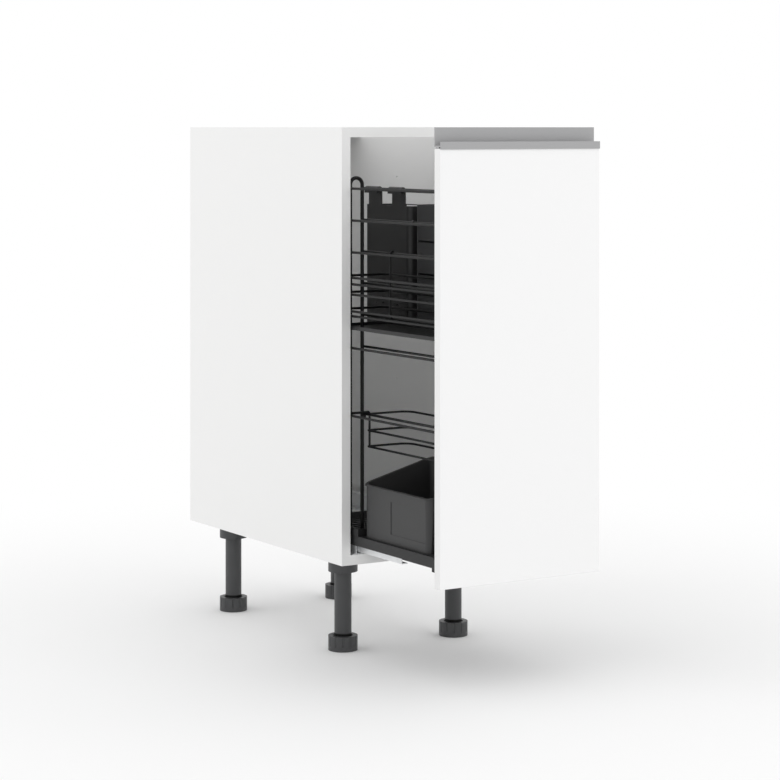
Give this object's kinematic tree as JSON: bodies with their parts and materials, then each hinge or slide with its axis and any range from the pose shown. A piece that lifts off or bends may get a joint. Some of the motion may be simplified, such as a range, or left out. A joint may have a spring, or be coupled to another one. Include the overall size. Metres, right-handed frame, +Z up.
{
  "type": "pull-out base cabinet",
  "caption": "Narrow white kitchen base cabinet on levelling legs, its tall front pulled out with a wire frame that carries utensil boxes, a wire holder and a bin.",
  "frame": {"origin": "centre of the bounding box on the floor, with the front pulled out as in the picture", "axes": "+Z up, +X to the right as seen from the front, +Y from the front to the back"},
  "size_m": [0.3, 0.8162, 0.85],
  "materials": {
    "carcase_white": "melamine-faced chipboard, satin white",
    "back_white": "white faced hardboard",
    "front_white": "smooth matt white lacquer",
    "beech": "plain turned beech",
    "zinc_steel": "zinc plated",
    "runner_steel": "galvanised sheet",
    "runner_dark": "dark grey coated sheet",
    "cage_plastic": "natural nylon",
    "leg_plastic": "dark grey moulded plastic",
    "black_wire": "black powder coat on steel wire",
    "graphite_sheet": "anthracite powder coat on steel sheet",
    "tray_plastic": "black moulded plastic",
    "box_black": "black moulded plastic",
    "box_grey": "dark grey moulded plastic",
    "bin_grey": "dark grey moulded plastic, satin",
    "handle_aluminium": "satin anodised"
  },
  "bodies": {
    "carcase": {"side_left": "carcase_white", "side_right": "carcase_white", "bottom_panel": "carcase_white", "back_panel": "back_white", "top_front_rail": "carcase_white", "top_rear_rail": "carcase_white", "dowels": "beech", "cam_fittings": "zinc_steel", "leg_socket_fl": "leg_plastic", "leg_socket_fr": "leg_plastic", "leg_socket_rl": "leg_plastic", "leg_socket_rr": "leg_plastic", "leg_post_fl": "leg_plastic", "leg_post_fr": "leg_plastic", "leg_post_rl": "leg_plastic", "leg_post_rr": "leg_plastic", "leg_screws": "zinc_steel", "runner_fixed_left": "runner_steel", "runner_fixed_right": "runner_steel", "runner_screws": "zinc_steel"},
    "pullout": {"runner_top_left": "runner_dark", "runner_top_right": "runner_dark", "base_frame": "graphite_sheet", "base_tray": "tray_plastic", "hoop_rear_bar": "black_wire", "hoop_front_bar": "black_wire", "grid_outer": "black_wire", "grid_inner": "black_wire", "slot_wire": "black_wire", "board_stop": "black_wire", "wire_clip": "tray_plastic", "door_bracket_left": "graphite_sheet", "door_bracket_right": "graphite_sheet", "door_screws": "zinc_steel", "door_panel": "front_white", "handle_profile": "handle_aluminium", "handle_screws": "zinc_steel", "basket_rings": "black_wire", "basket_tray": "graphite_sheet", "box_rail": "black_wire", "holder_rings": "black_wire"},
    "foot_fl": {"leg_foot_fl": "leg_plastic"},
    "foot_fr": {"leg_foot_fr": "leg_plastic"},
    "foot_rl": {"leg_foot_rl": "leg_plastic"},
    "foot_rr": {"leg_foot_rr": "leg_plastic"},
    "outer_cage_left": {"cage_outer_left": "cage_plastic"},
    "outer_cage_right": {"cage_outer_right": "cage_plastic"},
    "mid_member_left": {"runner_mid_left": "runner_steel"},
    "mid_member_right": {"runner_mid_right": "runner_steel"},
    "inner_cage_left": {"cage_inner_left": "cage_plastic"},
    "inner_cage_right": {"cage_inner_right": "cage_plastic"},
    "rear_box_body": {"rear_box": "box_black"},
    "front_box_body": {"front_box": "box_grey"},
    "bin_body": {"bin": "bin_grey"}
  },
  "joints": [
    {"name": "pullout_slide", "type": "slide", "parent": "carcase", "child": "pullout", "axis": [0, -1, 0], "range_m": [-0.266, 0.184]},
    {"name": "mid_slide_left", "type": "slide", "parent": "carcase", "child": "mid_member_left", "axis": [0, -1, 0], "range_m": [-0.133, 0.092]},
    {"name": "outer_cage_slide_left", "type": "slide", "parent": "carcase", "child": "outer_cage_left", "axis": [0, -1, 0], "range_m": [-0.0665, 0.046]},
    {"name": "inner_cage_slide_left", "type": "slide", "parent": "carcase", "child": "inner_cage_left", "axis": [0, -1, 0], "range_m": [-0.1995, 0.138]},
    {"name": "mid_slide_right", "type": "slide", "parent": "carcase", "child": "mid_member_right", "axis": [0, -1, 0], "range_m": [-0.133, 0.092]},
    {"name": "outer_cage_slide_right", "type": "slide", "parent": "carcase", "child": "outer_cage_right", "axis": [0, -1, 0], "range_m": [-0.0665, 0.046]},
    {"name": "inner_cage_slide_right", "type": "slide", "parent": "carcase", "child": "inner_cage_right", "axis": [0, -1, 0], "range_m": [-0.1995, 0.138]},
    {"name": "foot_slide_fl", "type": "slide", "parent": "carcase", "child": "foot_fl", "axis": [0, 0, -1], "range_m": [-0.008, 0.02]},
    {"name": "foot_slide_fr", "type": "slide", "parent": "carcase", "child": "foot_fr", "axis": [0, 0, -1], "range_m": [-0.008, 0.02]},
    {"name": "foot_slide_rl", "type": "slide", "parent": "carcase", "child": "foot_rl", "axis": [0, 0, -1], "range_m": [-0.008, 0.02]},
    {"name": "foot_slide_rr", "type": "slide", "parent": "carcase", "child": "foot_rr", "axis": [0, 0, -1], "range_m": [-0.008, 0.02]},
    {"name": "rear_box_lift", "type": "slide", "parent": "pullout", "child": "rear_box_body", "axis": [0, 0, 1], "range_m": [0, 0.06]},
    {"name": "front_box_lift", "type": "slide", "parent": "pullout", "child": "front_box_body", "axis": [0, 0, 1], "range_m": [0, 0.06]},
    {"name": "bin_slide", "type": "slide", "parent": "pullout", "child": "bin_body", "axis": [-1, 0, 0], "range_m": [0, 0.11]}
  ],
  "couplings": [
    {"joint": "mid_slide_left", "follows": "pullout_slide", "ratio": 0.5},
    {"joint": "outer_cage_slide_left", "follows": "pullout_slide", "ratio": 0.25},
    {"joint": "inner_cage_slide_left", "follows": "pullout_slide", "ratio": 0.75},
    {"joint": "mid_slide_right", "follows": "pullout_slide", "ratio": 0.5},
    {"joint": "outer_cage_slide_right", "follows": "pullout_slide", "ratio": 0.25},
    {"joint": "inner_cage_slide_right", "follows": "pullout_slide", "ratio": 0.75}
  ]
}
